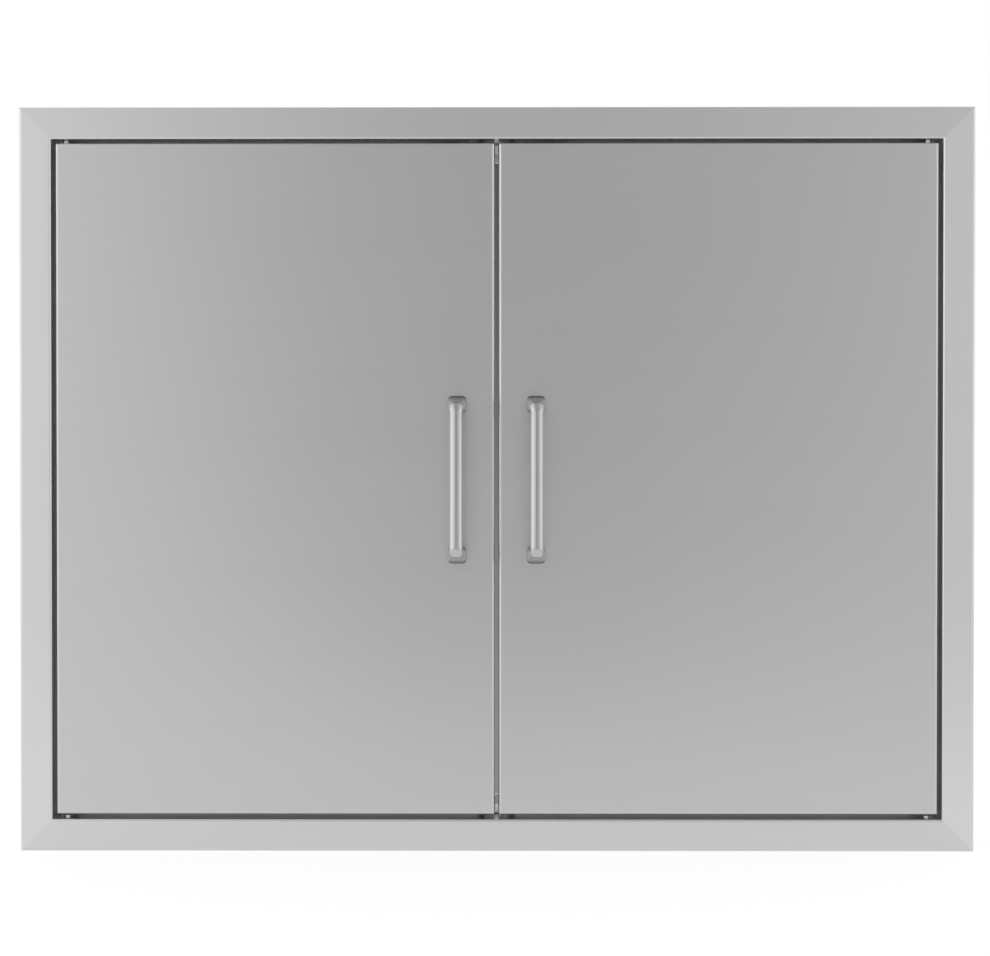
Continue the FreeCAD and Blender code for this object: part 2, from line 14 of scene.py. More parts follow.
import bpy
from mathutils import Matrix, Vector


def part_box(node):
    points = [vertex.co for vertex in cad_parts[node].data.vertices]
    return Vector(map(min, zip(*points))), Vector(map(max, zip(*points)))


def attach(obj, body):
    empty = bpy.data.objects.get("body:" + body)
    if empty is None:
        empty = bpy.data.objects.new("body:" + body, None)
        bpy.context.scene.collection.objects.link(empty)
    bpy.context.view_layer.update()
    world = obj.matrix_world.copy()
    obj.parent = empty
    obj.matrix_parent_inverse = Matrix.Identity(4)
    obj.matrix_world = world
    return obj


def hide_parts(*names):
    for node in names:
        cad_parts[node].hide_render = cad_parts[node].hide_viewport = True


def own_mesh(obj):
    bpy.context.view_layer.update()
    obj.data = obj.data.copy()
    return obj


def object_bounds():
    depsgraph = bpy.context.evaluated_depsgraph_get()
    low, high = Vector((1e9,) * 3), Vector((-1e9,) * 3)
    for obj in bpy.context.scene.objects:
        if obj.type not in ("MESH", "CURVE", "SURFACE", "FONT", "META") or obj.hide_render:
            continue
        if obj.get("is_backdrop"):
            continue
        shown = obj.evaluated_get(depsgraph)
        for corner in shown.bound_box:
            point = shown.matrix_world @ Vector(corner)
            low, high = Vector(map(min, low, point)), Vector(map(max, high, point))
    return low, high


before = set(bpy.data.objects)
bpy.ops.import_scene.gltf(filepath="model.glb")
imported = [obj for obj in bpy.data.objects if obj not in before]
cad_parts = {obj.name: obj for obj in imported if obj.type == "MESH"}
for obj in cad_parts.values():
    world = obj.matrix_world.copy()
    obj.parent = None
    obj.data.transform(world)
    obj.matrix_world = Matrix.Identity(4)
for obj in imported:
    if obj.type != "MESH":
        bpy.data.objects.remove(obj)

log = logging.getLogger("access_door")

PHOTO_WIDTH = 990
PHOTO_HEIGHT = 956


class Side(Enum):
    """The two doors, as someone in front of them sees them."""

    LEFT = "left"
    RIGHT = "right"


class Grain(Enum):
    """Direction of the brushing, with how close its streaks lie along X, Y and Z, per metre."""

    ALONG_X = (14.0, 900.0, 900.0)
    ALONG_Z = (900.0, 900.0, 14.0)

    @property
    def way(self) -> tuple[float, float, float]:
        """Direction of the streaks. Its slight tilt carries them round the folds to the returns."""
        return (1.0, 0.02, 0.0) if self is Grain.ALONG_X else (0.0, 0.02, 1.0)


def node_box(node: str) -> tuple[Vector, Vector]:
    """Lowest and highest corner of a CAD node at rest."""
    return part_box(node)


def dress(node: str, material: bpy.types.Material) -> None:
    """Gives every material slot of a CAD node a finish.

    Args:
        node: Name of the CAD node.
        material: The finish.
    """
    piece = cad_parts[node]
    if not piece.material_slots:
        piece.data.materials.append(material)
    for slot in piece.material_slots:
        slot.material = material


class Canvas:
    """Adds nodes to one node tree and joins them."""

    def __init__(self, tree: bpy.types.NodeTree) -> None:
        """Starts on a tree, whose nodes are kept."""
        self.tree = tree

    def add(self, kind: str, inputs: Optional[dict] = None, **settings: object) -> bpy.types.Node:
        """Adds a node.

        Args:
            kind: Blender's name of the node type.
            inputs: Values or output sockets, by the name or number of the input.
            settings: Attributes of the node.

        Returns:
            The new node.
        """
        node = self.tree.nodes.new(kind)
        for name, value in settings.items():
            setattr(node, name, value)
        for name, value in (inputs or {}).items():
            if isinstance(value, bpy.types.NodeSocket):
                self.tree.links.new(value, node.inputs[name])
            else:
                node.inputs[name].default_value = value
        return node

    def maths(self, operation: str, *values: object) -> bpy.types.NodeSocket:
        """Result of a Math node on up to three values or sockets."""
        inputs = dict(enumerate(values))
        return self.add("ShaderNodeMath", inputs, operation=operation).outputs[0]

    def spread(self, value: object, low: float, high: float) -> bpy.types.NodeSocket:
        """A mask from 0 to 1 mapped to a range of values."""
        node = self.add("ShaderNodeMapRange", {"Value": value, "To Min": low, "To Max": high})
        return node.outputs["Result"]

    def ease(
        self, value: object, start: float, end: float, low: float, high: float
    ) -> bpy.types.NodeSocket:
        """A smooth step between two values.

        Args:
            value: The value or socket that the step follows.
            start: Where the step starts.
            end: Where it ends.
            low: Result up to the start.
            high: Result from the end on.

        Returns:
            The result.
        """
        limits = {"Value": value, "From Min": start, "From Max": end, "To Min": low, "To Max": high}
        node = self.add("ShaderNodeMapRange", limits, interpolation_type="SMOOTHSTEP")
        return node.outputs["Result"]

    def blend(self, mask: object, dark: Sequence[float], light: Sequence[float]) -> bpy.types.NodeSocket:
        """A colour between two by a mask."""
        node = self.add("ShaderNodeMix", {"Factor": mask}, data_type="RGBA")
        node.inputs["A"].default_value = (*dark, 1.0)
        node.inputs["B"].default_value = (*light, 1.0)
        return node.outputs["Result"]

    def shades(
        self, mask: object, colour: Sequence[float], darker: float, lighter: float
    ) -> bpy.types.NodeSocket:
        """A colour that a mask varies between a darker and a lighter shade of it.

        Args:
            mask: The mask.
            colour: The middle colour.
            darker: Factor of the dark shade.
            lighter: Factor of the light shade.

        Returns:
            The varied colour.
        """
        dark = [channel * darker for channel in colour]
        light = [channel * lighter for channel in colour]
        return self.blend(mask, dark, light)

    def noise(self, place: object, scale: object, detail: float, **shape: float) -> bpy.types.Node:
        """A noise texture at a place, whose further inputs are given by their names in small letters."""
        inputs = {"Vector": place, "Scale": scale, "Detail": detail}
        inputs.update({name.title(): value for name, value in shape.items()})
        return self.add("ShaderNodeTexNoise", inputs)

    def relief(self, height: object, depth: float, strength: float) -> bpy.types.NodeSocket:
        """Normal of a surface with a fine relief, from its height mask and its depth in metres."""
        inputs = {"Height": height, "Distance": depth, "Strength": strength}
        return self.add("ShaderNodeBump", inputs).outputs["Normal"]


@dataclass
class Effects:
    """The shader node groups that several finishes share, each built once.

    The streaks and bands are noise scales, in streaks of the grain's own closeness.
    """

    fine_streaks: float = 2.3
    coarse_streaks: float = 0.45
    wide_bands: float = 0.035
    cloud_warp: float = 0.6
    cloud_start: float = 0.3
    cloud_end: float = 0.75
    built: dict[str, bpy.types.NodeTree] = field(default_factory=dict)

    def group(
        self,
        name: str,
        inputs: dict[str, tuple[str, object]],
        outputs: Iterable[str],
        fill: Callable[[Canvas, dict, bpy.types.Node], None],
    ) -> bpy.types.NodeTree:
        """Builds a group the first time that it is asked for.

        Args:
            name: Name of the group.
            inputs: Socket type and default value of each input.
            outputs: Names of the outputs, which are all values.
            fill: Adds the nodes between the inputs and the output node.

        Returns:
            The group.
        """
        if name in self.built:
            return self.built[name]
        tree = bpy.data.node_groups.new(name, "ShaderNodeTree")
        for socket_name, (kind, default) in inputs.items():
            socket = tree.interface.new_socket(socket_name, in_out="INPUT", socket_type=kind)
            socket.default_value = default
        for socket_name in outputs:
            tree.interface.new_socket(socket_name, in_out="OUTPUT", socket_type="NodeSocketFloat")
        canvas = Canvas(tree)
        start = canvas.add("NodeGroupInput")
        end = canvas.add("NodeGroupOutput")
        fill(canvas, {socket.name: socket for socket in start.outputs if socket.name}, end)
        self.built[name] = tree
        return tree

    def brushing(self) -> bpy.types.NodeTree:
        """Fine streaks of a belt-brushed sheet, with outputs Tone, Height and Bands."""

        def fill(canvas: Canvas, given: dict, end: bpy.types.Node) -> None:
            """Two sizes of stretched noise make the streaks, and a third makes wide soft bands."""
            place = canvas.add("ShaderNodeTexCoord").outputs["Object"]
            stretched = canvas.add(
                "ShaderNodeVectorMath", {0: place, 1: given["Closeness"]}, operation="MULTIPLY"
            ).outputs[0]
            fine = canvas.noise(stretched, self.fine_streaks, 4.0, roughness=0.7)
            coarse = canvas.noise(stretched, self.coarse_streaks, 3.0, roughness=0.6)
            wide = canvas.noise(stretched, self.wide_bands, 2.0)
            streaks = canvas.maths("ADD", fine.outputs["Fac"], coarse.outputs["Fac"])
            tone = canvas.maths("MULTIPLY", streaks, 0.5)
            links = canvas.tree.links
            links.new(tone, end.inputs["Tone"])
            links.new(streaks, end.inputs["Height"])
            links.new(wide.outputs["Fac"], end.inputs["Bands"])

        return self.group(
            "Brushing",
            {"Closeness": ("NodeSocketVector", Grain.ALONG_X.value)},
            ("Tone", "Height", "Bands"),
            fill,
        )

    def handling(self) -> bpy.types.NodeTree:
        """Faint wiping marks and clouds, with output Mask."""

        def fill(canvas: Canvas, given: dict, end: bpy.types.Node) -> None:
            """Soft warped clouds, with their faint parts cut off."""
            place = canvas.add("ShaderNodeTexCoord").outputs["Object"]
            clouds = canvas.noise(place, given["Scale"], 5.0, distortion=self.cloud_warp)
            mask = canvas.ease(clouds.outputs["Fac"], self.cloud_start, self.cloud_end, 0.0, 1.0)
            canvas.tree.links.new(mask, end.inputs["Mask"])

        return self.group("Handling", {"Scale": ("NodeSocketFloat", 9.0)}, ("Mask",), fill)

    def pebbling(self) -> bpy.types.NodeTree:
        """Small pits and grains of moulded, sintered or plated skins: outputs Tone and Height."""

        def fill(canvas: Canvas, given: dict, end: bpy.types.Node) -> None:
            """Cells for the grains and noise for the ground between them."""
            place = canvas.add("ShaderNodeTexCoord").outputs["Object"]
            cells = canvas.add("ShaderNodeTexVoronoi", {"Vector": place, "Scale": given["Scale"]})
            ground = canvas.noise(place, given["Scale"], 3.0)
            height = canvas.maths("ADD", cells.outputs["Distance"], ground.outputs["Fac"])
            canvas.tree.links.new(ground.outputs["Fac"], end.inputs["Tone"])
            canvas.tree.links.new(height, end.inputs["Height"])

        return self.group(
            "Pebbling", {"Scale": ("NodeSocketFloat", 1500.0)}, ("Tone", "Height"), fill
        )


class Workshop:
    """Makes materials with the shared effects and keeps one of each finish."""

    def __init__(self) -> None:
        """Starts with no material made."""
        self.effects = Effects()
        self.made: dict[object, bpy.types.Material] = {}

    def material(self, finish: "Finish") -> bpy.types.Material:
        """The material of a finish, built the first time that it is asked for."""
        if finish not in self.made:
            material = bpy.data.materials.new(finish.name)
            material.use_nodes = True
            canvas = Canvas(material.node_tree)
            finish.paint(canvas, material.node_tree.nodes["Principled BSDF"], self.effects)
            self.made[finish] = material
        return self.made[finish]


@dataclass(frozen=True)
class Finish:
    """What all finishes share. Each kind overrides paint."""

    name: str

    def paint(self, canvas: Canvas, surface: bpy.types.Node, effects: Effects) -> None:
        """Adds the finish's nodes and sets its surface shader.

        Args:
            canvas: The material's nodes.
            surface: The material's Principled BSDF.
            effects: The shared node groups.
        """
        raise NotImplementedError


@dataclass(frozen=True)
class BrushedSteel(Finish):
    """Stainless sheet with straight brushing."""

    grain: Grain
    colour: tuple[float, float, float] = (0.63, 0.63, 0.635)
    contrast: float = 0.035
    roughness: float = 0.31
    stretch: float = 0.5
    depth: float = 0.00002
    gloss_spread: float = 0.07
    wiped: float = 0.02
    relief: float = 0.5

    def paint(self, canvas: Canvas, surface: bpy.types.Node, effects: Effects) -> None:
        """Streaks tint the steel, vary its gloss and roughen it across the grain."""
        streaks = canvas.add("ShaderNodeGroup", node_tree=effects.brushing())
        streaks.inputs["Closeness"].default_value = self.grain.value
        marks = canvas.add("ShaderNodeGroup", node_tree=effects.handling())
        tone = streaks.outputs["Tone"]
        colour = canvas.shades(tone, self.colour, 1 - self.contrast, 1 + self.contrast)
        smoothest = self.roughness * (1 - self.gloss_spread)
        roughest = self.roughness * (1 + self.gloss_spread)
        gloss = canvas.spread(streaks.outputs["Bands"], smoothest, roughest)
        wiped = canvas.spread(marks.outputs["Mask"], 0.0, self.wiped)
        links = canvas.tree.links
        links.new(colour, surface.inputs["Base Color"])
        links.new(canvas.maths("ADD", gloss, wiped), surface.inputs["Roughness"])
        normal = canvas.relief(streaks.outputs["Height"], self.depth, self.relief)
        links.new(normal, surface.inputs["Normal"])
        links.new(self.across(canvas), surface.inputs["Tangent"])
        surface.inputs["Anisotropic"].default_value = self.stretch
        surface.inputs["Metallic"].default_value = 1.0

    def across(self, canvas: Canvas) -> bpy.types.NodeSocket:
        """Direction across the streaks in the surface, along which reflections are drawn out."""
        way = canvas.add(
            "ShaderNodeVectorTransform",
            {0: self.grain.way},
            vector_type="VECTOR",
            convert_from="OBJECT",
            convert_to="WORLD",
        )
        normal = canvas.add("ShaderNodeNewGeometry").outputs["Normal"]
        cross = canvas.add(
            "ShaderNodeVectorMath", {0: normal, 1: way.outputs[0]}, operation="CROSS_PRODUCT"
        )
        return cross.outputs[0]


@dataclass(frozen=True)
class SmoothMetal(Finish):
    """Polished, turned or plated metal, with faint clouds and a fine grain.

    A piece that stands on a sheet can get painted shade: its colour darkens towards the sheet, as the
    contact shadow round its feet.
    """

    colour: tuple[float, float, float]
    roughness: float
    variation: float = 0.05
    grain_scale: float = 1800.0
    cloud_scale: float = 60.0
    smoothest: float = 0.85
    roughest: float = 1.2
    depth: float = 0.000004
    relief: float = 0.4
    # seat, reach and contact_shade place the painted shade: where it is darkest, how far it reaches and
    # how dark it gets
    seat: float = 0.0
    reach: float = 0.0
    contact_shade: float = 0.0

    def paint(self, canvas: Canvas, surface: bpy.types.Node, effects: Effects) -> None:
        """Clouds vary the tint and gloss, and the grain gives a slight bump."""
        marks = canvas.add("ShaderNodeGroup", node_tree=effects.handling())
        marks.inputs["Scale"].default_value = self.cloud_scale
        grain = canvas.add("ShaderNodeGroup", node_tree=effects.pebbling())
        grain.inputs["Scale"].default_value = self.grain_scale
        tone = grain.outputs["Tone"]
        colour = canvas.shades(tone, self.colour, 1 - self.variation, 1 + self.variation)
        # Painted shade: the colour darkens towards the sheet that the piece stands on
        if self.reach:
            colour = self.shaded_near_seat(canvas, colour)
        smoothest = self.roughness * self.smoothest
        gloss = canvas.spread(marks.outputs["Mask"], smoothest, self.roughness * self.roughest)
        links = canvas.tree.links
        links.new(colour, surface.inputs["Base Color"])
        links.new(gloss, surface.inputs["Roughness"])
        normal = canvas.relief(grain.outputs["Height"], self.depth, self.relief)
        links.new(normal, surface.inputs["Normal"])
        surface.inputs["Metallic"].default_value = 1.0

    def shaded_near_seat(self, canvas: Canvas, colour: bpy.types.NodeSocket) -> bpy.types.NodeSocket:
        """The colour, with painted shade that darkens it towards the plane that the piece stands on."""
        place = canvas.add("ShaderNodeTexCoord").outputs["Object"]
        depth = canvas.add("ShaderNodeSeparateXYZ", {0: place}).outputs["Y"]
        share = canvas.ease(depth, self.seat - self.reach, self.seat, 0.0, self.contact_shade)
        node = canvas.add("ShaderNodeMix", {"Factor": share}, data_type="RGBA")
        canvas.tree.links.new(colour, node.inputs["A"])
        node.inputs["B"].default_value = (0.0, 0.0, 0.0, 1.0)
        return node.outputs["Result"]


@dataclass(frozen=True)
class Moulding(Finish):
    """Moulded plastic, rubber or ferrite, with a pebbled skin."""

    colour: tuple[float, float, float]
    roughness: float
    pebble_scale: float = 1500.0
    cloud_scale: float = 80.0
    darkest: float = 0.8
    lightest: float = 1.25
    gloss_spread: float = 0.1
    depth: float = 0.00003
    relief: float = 0.5

    def paint(self, canvas: Canvas, surface: bpy.types.Node, effects: Effects) -> None:
        """The pebbling varies the colour and gives the bump, and clouds vary the gloss."""
        pebbles = canvas.add("ShaderNodeGroup", node_tree=effects.pebbling())
        pebbles.inputs["Scale"].default_value = self.pebble_scale
        marks = canvas.add("ShaderNodeGroup", node_tree=effects.handling())
        marks.inputs["Scale"].default_value = self.cloud_scale
        colour = canvas.shades(pebbles.outputs["Tone"], self.colour, self.darkest, self.lightest)
        smoothest = self.roughness * (1 - self.gloss_spread)
        roughest = self.roughness * (1 + self.gloss_spread)
        gloss = canvas.spread(marks.outputs["Mask"], smoothest, roughest)
        links = canvas.tree.links
        links.new(colour, surface.inputs["Base Color"])
        links.new(gloss, surface.inputs["Roughness"])
        normal = canvas.relief(pebbles.outputs["Height"], self.depth, self.relief)
        links.new(normal, surface.inputs["Normal"])


DOOR_SHEET = BrushedSteel("Brushed door sheet", Grain.ALONG_X)
# Rails and stiles are the doors' steel in lighter colours, the stiles lightest: painted light for how
# brightly each member is lit
RAIL_SHEET = BrushedSteel("Brushed rail sheet", Grain.ALONG_X, (0.70, 0.70, 0.705), roughness=0.32)
STILE_SHEET = BrushedSteel("Brushed stile sheet", Grain.ALONG_Z, (0.73, 0.73, 0.735), roughness=0.32)
# The stops have a real mill finish, brushed less strongly; their pale colour is partly painted light
# that brightens the shaded reveals
STOP_ALONG_X = BrushedSteel(
    "Mill finish along X",
    Grain.ALONG_X,
    (0.86, 0.86, 0.865),
    contrast=0.05,
    roughness=0.32,
    stretch=0.2,
    depth=0.00001,
)
STOP_ALONG_Z = replace(STOP_ALONG_X, name="Mill finish along Z", grain=Grain.ALONG_Z)
# The bar's colour has painted shade, blending up to 85 % to black near the door, as the contact shadow
# round its feet
POLISHED_BAR = SmoothMetal(
    "Polished bar", (0.54, 0.54, 0.545), 0.10, seat=-0.010, reach=0.024, contact_shade=0.85
)
TURNED_STEEL = SmoothMetal("Turned steel", (0.70, 0.70, 0.705), 0.38)
ZINC_PLATE = SmoothMetal("Zinc plate", (0.55, 0.57, 0.60), 0.36, variation=0.12, grain_scale=700.0)
SPRING_STEEL = SmoothMetal("Spring steel", (0.50, 0.50, 0.49), 0.34)
BLACK_ACETAL = Moulding("Black acetal", (0.022, 0.022, 0.023), 0.38)
BLACK_NYLON = Moulding("Black nylon", (0.028, 0.028, 0.030), 0.5, pebble_scale=1100.0)
FERRITE = Moulding("Ferrite", (0.045, 0.043, 0.042), 0.7, pebble_scale=2200.0)
BLACK_RUBBER = Moulding("Black rubber", (0.018, 0.018, 0.018), 0.85, pebble_scale=1300.0)


class MeshDraft:
    """Points and faces of one piece, gathered before they become an object."""

    def __init__(self) -> None:
        """Starts empty."""
        self.points: list[Vector] = []
        self.faces: list[list[int]] = []

    def ring(self, points: Sequence[Vector]) -> list[int]:
        """Adds points and gives their numbers."""
        start = len(self.points)
        self.points += points
        return list(range(start, len(self.points)))

    def bridge(self, near: Sequence[int], far: Sequence[int]) -> None:
        """Joins two rings of the same length with quads."""
        count = len(near)
        for i in range(count):
            j = (i + 1) % count
            self.faces.append([near[i], near[j], far[j], far[i]])

    def cap(self, ring: Sequence[int]) -> None:
        """Closes a ring with one face."""
        self.faces.append(list(ring))

    def tube(self, rings: Sequence[Sequence[Vector]]) -> None:
        """Skin over a row of rings, closed at both ends."""
        numbers = [self.ring(points) for points in rings]
        for near, far in zip(numbers, numbers[1:]):
            self.bridge(near, far)
        self.cap(list(reversed(numbers[0])))
        self.cap(numbers[-1])

    def lathe(
        self, outline: Sequence[tuple[float, float]], start: Vector, axis: Vector, sides: int
    ) -> None:
        """Closed turned form.

        Args:
            outline: Radius and height points from the lower end to the upper.
            start: Place where the height is zero.
            axis: Unit vector of the height.
            sides: Points round the axis.
        """
        across = axis.orthogonal().normalized()
        other = axis.cross(across)
        turns = [2 * math.pi * i / sides for i in range(sides)]
        self.tube(
            [
                [
                    start + axis * height + (across * math.cos(a) + other * math.sin(a)) * radius
                    for a in turns
                ]
                for radius, height in outline
            ]
        )

    def build(self, name: str, material: bpy.types.Material, sharp: float = 40.0) -> bpy.types.Object:
        """Turns the draft into a shaded object.

        Args:
            name: Name of the object.
            material: Its finish.
            sharp: Angle in degrees from which an edge is shaded sharp.

        Returns:
            The object, in the scene.
        """
        mesh = bpy.data.meshes.new(name)
        mesh.from_pydata([tuple(point) for point in self.points], [], self.faces)
        mesh.validate()
        mesh.update()
        mesh.materials.append(material)
        piece = bpy.data.objects.new(name, mesh)
        bpy.context.scene.collection.objects.link(piece)
        mesh.shade_smooth()
        mesh.set_sharp_from_angle(angle=math.radians(sharp))
        return piece


def install(
    piece: bpy.types.Object, body: str, replaced: Sequence[str] = ()
) -> bpy.types.Object:
    """Puts a finished piece on its body.

    Args:
        piece: The piece, in place.
        body: CAD body that it moves with.
        replaced: CAD nodes that it stands for.

    Returns:
        The piece.
    """
    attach(piece, body)
    if replaced:
        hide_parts(*replaced)
    log.info("%s on %s", piece.name, body)
    return piece


@dataclass
class FaceFrame:
    """The fixed frame: rails, stiles, stops, pivots and bumpers."""

    shop: Workshop
    pin_sides: int = 48
    pin_radius: float = 0.0025
    pin_head_height: float = 0.0015
    head_rounding: float = 0.0004
    bumper_sides: int = 32
    bumper_radius: float = 0.00325
    bumper_rounding: float = 0.0012
    rounding_steps: int = 6

    # The pin's domed tip: radius, and drop below the end, both as shares of the pin's radius
    PIN_TIP = ((1.0, 0.35), (0.93, 0.18), (0.72, 0.03), (0.4, 0.0))

    def build(self) -> None:
        """Dresses the frame's nodes and makes its finer pieces."""
        self.dress_sheet()
        self.make_pins()
        self.make_bumpers()
        dress("top_pivot_bushes", self.shop.material(BLACK_ACETAL))

    def dress_sheet(self) -> None:
        """Brushes each member along its length."""
        for end in ("top", "bottom"):
            dress(f"frame_{end}_rail", self.shop.material(RAIL_SHEET))
            dress(f"door_stop_{end}", self.shop.material(STOP_ALONG_X))
        for side in Side:
            dress(f"frame_{side.value}_stile", self.shop.material(STILE_SHEET))
            dress(f"door_stop_{side.value}", self.shop.material(STOP_ALONG_Z))

    def make_pins(self) -> None:
        """The bottom pivot pins, with a rounded head and a domed tip."""
        low, high = node_box("bottom_pivot_pins")
        head = (high.y - low.y) / 2
        shank = self.pin_radius
        length = high.z - low.z
        edge = self.head_rounding
        bevel = edge * 0.3
        outline = [
            (head - edge, 0.0),
            (head - bevel, bevel),
            (head, edge),
            (head, self.pin_head_height),
            (shank, self.pin_head_height),
        ]
        outline += [(shank * share, length - shank * drop) for share, drop in self.PIN_TIP]
        draft = MeshDraft()
        for x in (low.x + head, high.x - head):
            start = Vector((x, (low.y + high.y) / 2, low.z))
            draft.lathe(outline, start, Vector((0, 0, 1)), self.pin_sides)
        piece = draft.build("bottom_pins", self.shop.material(TURNED_STEEL))
        install(piece, "frame", ["bottom_pivot_pins"])

    def make_bumpers(self) -> None:
        """Domed rubber bumpers on the stops."""
        low, high = node_box("door_bumpers")
        height = high.y - low.y
        radius = self.bumper_radius
        rounding = self.bumper_rounding
        outline = [(radius, 0.0), (radius, height - rounding)]
        for i in range(1, self.rounding_steps + 1):
            turn = math.pi / 2 * i / self.rounding_steps
            across = radius - rounding + rounding * math.cos(turn)
            outline.append((across, height - rounding + rounding * math.sin(turn)))
        draft = MeshDraft()
        for x in (low.x + radius, high.x - radius):
            for z in (low.z + radius, high.z - radius):
                draft.lathe(outline, Vector((x, high.y, z)), Vector((0, -1, 0)), self.bumper_sides)
        piece = draft.build("rubber_bumpers", self.shop.material(BLACK_RUBBER))
        install(piece, "frame", ["door_bumpers"])


@dataclass
class BowHandle:
    """Polished bow handle: an oval grip whose legs flare into feet with rounded corners."""

    shop: Workshop
    side: Side
    grip_width: float = 0.0116
    grip_thickness: float = 0.0086
    foot_height: float = 0.0150
    rim: float = 0.0008
    shoulder_drop: float = 0.0092
    bend: float = 0.0070
    squareness: float = 5.0
    leaning: float = 1.2
    thinning: float = 4.0
    narrowing: float = 0.8
    sides: int = 56
    bend_steps: int = 20
    leg_steps: int = 14
    leg_crowding: float = 1.5

    def section(self, wide: float, thick: float, power: float) -> list[tuple[float, float]]:
        """Oval as (across, thick) points.

        Args:
            wide: Its size across the handle.
            thick: Its size from front to back.
            power: 2 for an ellipse, and more for a squarer oval.

        Returns:
            The points, in order round the section.
        """
        points = []
        for i in range(self.sides):
            turn = 2 * math.pi * i / self.sides
            across, out = math.cos(turn), math.sin(turn)
            reach = (abs(across) ** power + abs(out) ** power) ** (-1 / power)
            points.append((across * reach * wide / 2, out * reach * thick / 2))
        return points

    def left_over(self, gone: float, length: float) -> float:
        """Share of a length from the door that is still ahead: 1 up to the rim, and 0 at its end."""
        return max(0.0, 1 - max(0.0, gone - self.rim) / (length - self.rim))

    def stations(self, low: Vector, high: Vector) -> list[tuple[Vector, Vector, float]]:
        """Centre, direction and distance from the door along the upper half of the bar.

        Args:
            low: Lowest corner of the CAD handle.
            high: Its highest corner.

        Returns:
            The stations from the upper foot to the upper end of the grip.
        """
        x = (low.x + high.x) / 2
        grip = low.y + self.grip_thickness / 2
        leg = high.z - self.shoulder_drop
        foot = high.z - self.foot_height / 2
        straight = high.y - (grip + self.bend)
        distances = [0.0, self.rim]
        distances += [
            self.rim + (straight - self.rim) * (i / self.leg_steps) ** self.leg_crowding
            for i in range(1, self.leg_steps + 1)
        ]
        rows = []
        for gone in distances:
            lean = self.left_over(gone, straight) ** self.leaning
            centre = Vector((x, high.y - gone, leg + (foot - leg) * lean))
            rows.append((centre, Vector((0, -1, 0)), gone))
        middle = Vector((x, grip + self.bend, leg - self.bend))
        for i in range(1, self.bend_steps + 1):
            turn = math.pi / 2 * i / self.bend_steps
            centre = middle + Vector((0, -math.sin(turn), math.cos(turn))) * self.bend
            way = Vector((0, -math.cos(turn), -math.sin(turn)))
            rows.append((centre, way, straight + self.bend * turn))
        return rows

    def ring(
        self, station: tuple[Vector, Vector, float], foot_width: float, length: float, flip: int
    ) -> list[Vector]:
        """Section of the bar at a station.

        Args:
            station: Its centre, direction and distance from the door.
            foot_width: Width of the foot on the door.
            length: Distance from the door to the end of the bend.
            flip: 1 for the upper half, and -1 to mirror it to the lower half.

        Returns:
            The points of the section.
        """
        centre, way, gone = station
        ahead = self.left_over(gone, length)
        foot_share = ahead**self.thinning
        side_share = ahead**self.narrowing
        thick = self.grip_thickness + (self.foot_height - self.grip_thickness) * foot_share
        wide = self.grip_width + (foot_width - self.grip_width) * side_share
        power = 2.0 + (self.squareness - 2.0) * side_share
        normal = Vector((0, way.z, -way.y))
        points = []
        for across, out in self.section(wide, thick, power):
            point = centre + Vector((across, 0, 0)) + normal * out
            points.append(Vector((point.x, point.y, point.z * flip)))
        return points

    def build(self) -> None:
        """Skins the bar from foot to foot and hides the CAD handle."""
        node = f"{self.side.value}_handle"
        low, high = node_box(node)
        upper = self.stations(low, high)
        length = upper[-1][2]
        width = high.x - low.x
        rings = [self.ring(station, width, length, 1) for station in upper]
        rings += [self.ring(station, width, length, -1) for station in reversed(upper)]
        draft = MeshDraft()
        draft.tube(rings)
        piece = draft.build(f"{self.side.value}_bow_handle", self.shop.material(POLISHED_BAR), 60.0)
        install(piece, f"{self.side.value}_door", [node])


@dataclass
class HandleScrews:
    """Hexagon-head screws on the back of a door."""

    shop: Workshop
    side: Side
    flats: float = 0.0070
    head_height: float = 0.0028
    crown: float = 0.0006
    crown_share: float = 0.9
    shank: float = 0.0040
    tip_height: float = 0.0005
    tip_share: float = 2 / 3
    sides: int = 48

    def build(self) -> None:
        """Makes both screws of the door and hides the CAD ones."""
        node = f"{self.side.value}_handle_screws"
        low, high = node_box(node)
        x = (low.x + high.x) / 2
        half_flats = self.flats / 2
        back = high.y - self.head_height
        reach = back - low.y
        radius = self.shank / 2
        shank = [(radius, 0.0), (radius, reach - self.tip_height), (radius * self.tip_share, reach)]
        draft = MeshDraft()
        for z in (low.z + half_flats, high.z - half_flats):
            seat = Vector((x, back, z))
            rings = [
                self.hexagon(seat, half_flats, 0.0),
                self.hexagon(seat, half_flats, self.head_height - self.crown),
                self.hexagon(seat, half_flats * self.crown_share, self.head_height, 1.0),
            ]
            draft.tube(rings)
            draft.lathe(shank, seat, Vector((0, -1, 0)), self.sides)
        piece = draft.build(f"{self.side.value}_hex_screws", self.shop.material(ZINC_PLATE), 25.0)
        install(piece, f"{self.side.value}_door", [node])

    def hexagon(
        self, seat: Vector, half_flats: float, height: float, round_share: float = 0.0
    ) -> list[Vector]:
        """Ring between a hexagon and a circle.

        Args:
            seat: Centre under the head.
            half_flats: Half the size across the flats.
            height: Distance of the ring from the seat.
            round_share: 0 for a hexagon and 1 for a circle.

        Returns:
            The ring's points.
        """
        points = []
        for i in range(self.sides):
            turn = 2 * math.pi * i / self.sides
            fold = (turn + math.pi / 6) % (math.pi / 3) - math.pi / 6
            hexagonal = half_flats / math.cos(abs(abs(fold) - math.pi / 6))
            radius = hexagonal * (1 - round_share) + half_flats * round_share
            points.append(seat + Vector((math.cos(turn) * radius, height, math.sin(turn) * radius)))
        return points


